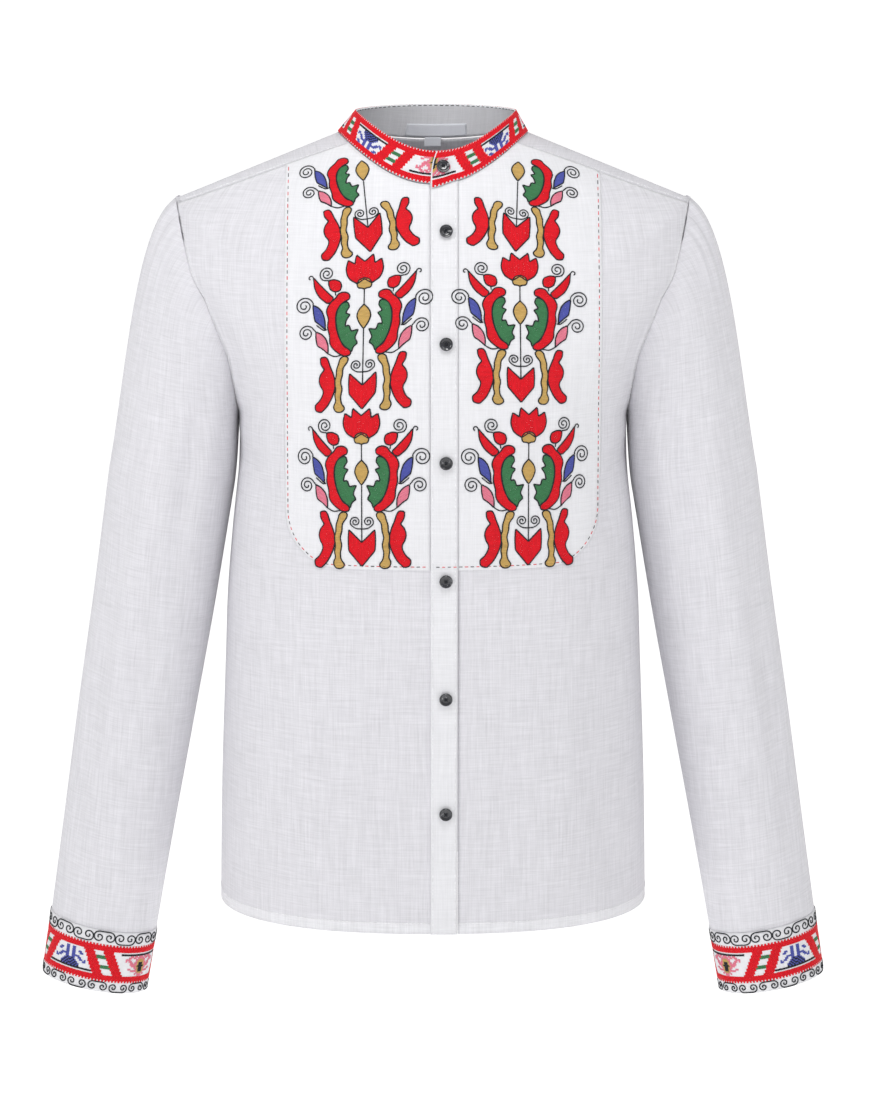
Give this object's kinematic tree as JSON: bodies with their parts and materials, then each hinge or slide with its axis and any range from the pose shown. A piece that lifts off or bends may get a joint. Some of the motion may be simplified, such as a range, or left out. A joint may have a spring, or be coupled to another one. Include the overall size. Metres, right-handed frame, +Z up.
{
  "type": "embroidered band-collar shirt",
  "caption": "Long-sleeved button-front linen shirt with a band collar, straight cuffs and two embroidered chest panels, filled out as worn with nobody in it.",
  "frame": {"origin": "middle of the neck opening, level with the points where the shoulders meet the neck", "axes": "+Z up along the body, -Y out of the front with its buttons, +X to the right as the front is seen"},
  "size_m": [0.702, 0.2599, 0.7858],
  "materials": {
    "linen": "matte",
    "linen_double": "matte",
    "embroidered_band": "matte",
    "label": "satin",
    "button": "pearly gloss"
  },
  "bodies": {
    "root": {"front_right": "linen", "front_left": "linen", "back": "linen", "yoke": "linen", "placket": "linen_double", "embroidered_panel_right": "linen_double", "embroidered_panel_left": "linen_double", "sleeve_right": "linen", "sleeve_left": "linen", "cuff_right": "embroidered_band", "cuff_left": "embroidered_band", "collar_band": "embroidered_band", "neck_label": "label", "size_tab": "label", "button_1": "button", "button_2": "button", "button_3": "button", "button_4": "button", "button_5": "button", "button_6": "button", "button_7": "button"}
  },
  "joints": []
}
